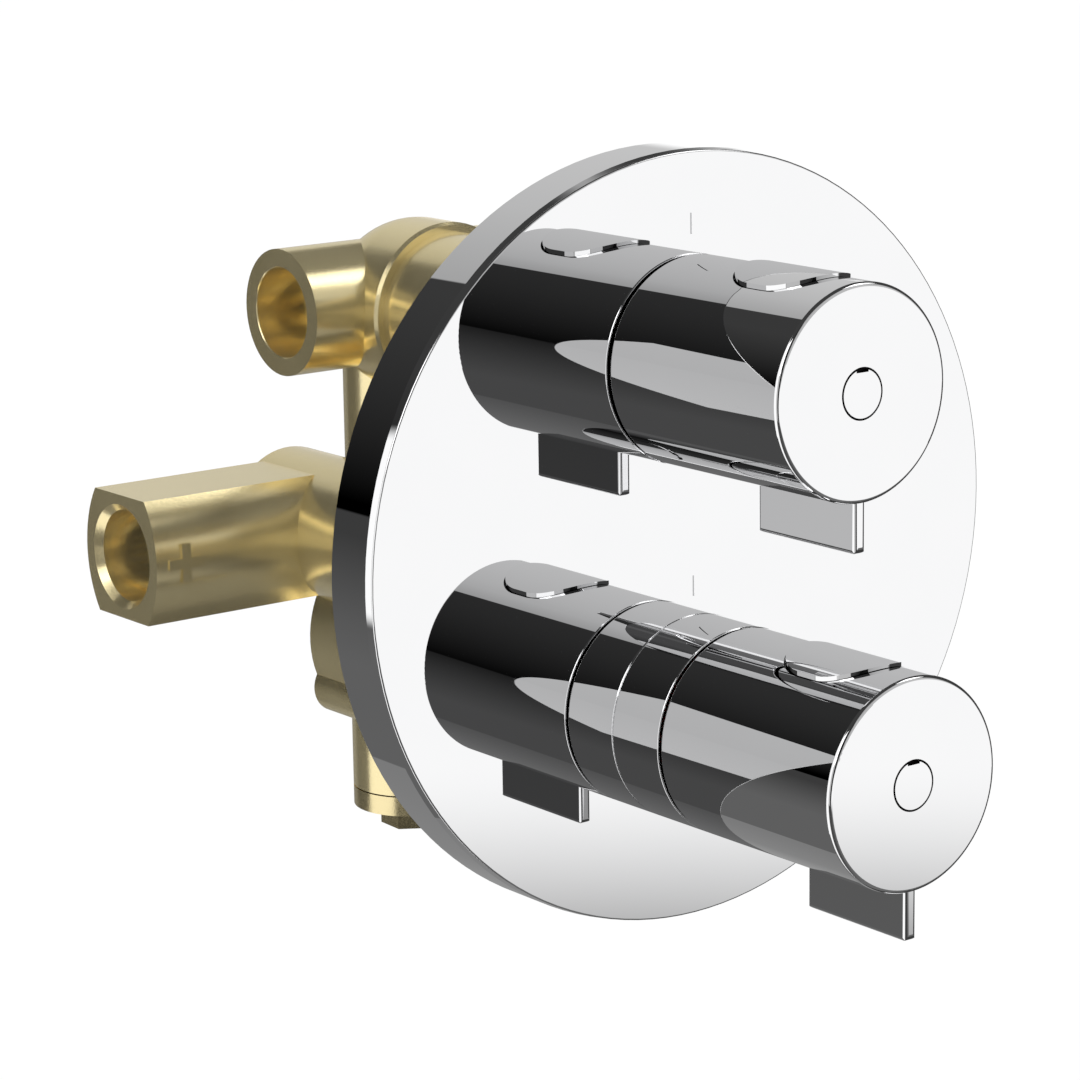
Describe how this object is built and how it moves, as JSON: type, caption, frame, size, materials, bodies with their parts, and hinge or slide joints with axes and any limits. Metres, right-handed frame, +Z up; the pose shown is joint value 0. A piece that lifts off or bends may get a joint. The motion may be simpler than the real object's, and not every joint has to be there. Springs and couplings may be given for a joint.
{
  "type": "thermostatic shower valve",
  "caption": "Concealed thermostatic shower valve with a round chrome plate, two cylindrical handles with blades and safety buttons, and a brass body.",
  "frame": {"origin": "Centre of the round cover plate, in the face of the finished wall", "axes": "+X right seen from the room, +Y into the wall, +Z up"},
  "size_m": [0.15, 0.1713, 0.1531],
  "materials": {
    "satin_brass": "sand-cast and machined brass, satin",
    "bright_brass": "turned brass",
    "chrome": "polished chrome",
    "rubber": "black rubber",
    "white_plastic": "white moulded plastic",
    "red_plastic": "red moulded plastic",
    "grey_plastic": "grey moulded plastic",
    "ceramic": "white ceramic, polished",
    "steel": "stainless steel"
  },
  "bodies": {
    "fixed": {"valve_body": "satin_brass", "cover_plate": "chrome", "wall_seal": "rubber", "sleeve_seals": "rubber", "flow_sleeve": "chrome", "temperature_sleeve": "chrome", "collar": "chrome", "flow_stop_ring": "white_plastic", "temperature_stop_ring": "red_plastic", "flow_cartridge_housing": "white_plastic", "flow_gland_nut": "bright_brass", "flow_fixed_disc": "ceramic", "flow_floor_seal": "rubber", "thermostat_housing": "bright_brass", "thermostat_gland_nut": "bright_brass", "thermostat_seals": "rubber", "hot_check_housing": "grey_plastic", "cold_check_housing": "grey_plastic", "hot_strainer": "steel", "cold_strainer": "steel", "hot_service_plug": "bright_brass", "cold_service_plug": "bright_brass", "service_plug_seals": "rubber", "lower_plug": "bright_brass", "lower_plug_seal": "rubber", "thermostat_overload_spring": "steel", "thermostat_return_spring": "steel", "hot_check_spring": "steel", "cold_check_spring": "steel"},
    "flow_handle": {"flow_knob": "chrome", "flow_blade": "chrome", "flow_blade_screws": "steel", "flow_knob_insert": "white_plastic", "flow_knob_screw": "steel", "flow_screw_cover": "chrome", "flow_extension": "bright_brass", "flow_cartridge_stem": "bright_brass", "flow_moving_disc": "ceramic", "flow_button_spring": "steel"},
    "flow_stop_button": {"flow_button": "chrome"},
    "temperature_handle": {"temperature_knob": "chrome", "temperature_blade": "chrome", "temperature_blade_screws": "steel", "temperature_knob_insert": "white_plastic", "temperature_knob_screw": "steel", "temperature_screw_cover": "chrome", "temperature_extension": "bright_brass", "thermostat_screw": "bright_brass", "temperature_button_spring": "steel"},
    "temperature_stop_button": {"temperature_button": "chrome"},
    "mixing_spool": {"thermostat_spool": "bright_brass", "thermostat_wax_element": "bright_brass"},
    "hot_check": {"hot_check_disc": "grey_plastic"},
    "cold_check": {"cold_check_disc": "grey_plastic"}
  },
  "joints": [
    {"name": "flow_turn", "type": "hinge", "parent": "fixed", "child": "flow_handle", "pos_m": [0, 0, 0.035], "axis": [0, -1, 0], "range_deg": [-90, 90]},
    {"name": "flow_button_press", "type": "slide", "parent": "flow_handle", "child": "flow_stop_button", "axis": [0, 0, -1], "range_m": [0, 0.002], "stiffness_N_per_m": 500, "springref_m": -0.002, "deforming": ["flow_button_spring"]},
    {"name": "temperature_turn", "type": "hinge", "parent": "fixed", "child": "temperature_handle", "pos_m": [0, 0, -0.035], "axis": [0, -1, 0], "range_deg": [-165, 60]},
    {"name": "temperature_button_press", "type": "slide", "parent": "temperature_handle", "child": "temperature_stop_button", "axis": [0, 0, -1], "range_m": [0, 0.002], "stiffness_N_per_m": 500, "springref_m": -0.002, "deforming": ["temperature_button_spring"]},
    {"name": "spool_slide", "type": "slide", "parent": "fixed", "child": "mixing_spool", "axis": [0, -1, 0], "range_m": [-0.0012, 0.0005], "deforming": ["thermostat_overload_spring", "thermostat_return_spring"]},
    {"name": "hot_check_slide", "type": "slide", "parent": "fixed", "child": "hot_check", "axis": [0, -1, 0], "range_m": [0, 0.002], "stiffness_N_per_m": 20, "springref_m": -0.005, "deforming": ["hot_check_spring"]},
    {"name": "cold_check_slide", "type": "slide", "parent": "fixed", "child": "cold_check", "axis": [0, -1, 0], "range_m": [0, 0.002], "stiffness_N_per_m": 20, "springref_m": -0.005, "deforming": ["cold_check_spring"]}
  ],
  "couplings": [
    {"joint": "spool_slide", "follows": "temperature_turn", "m_per_rad": 0.000382}
  ]
}
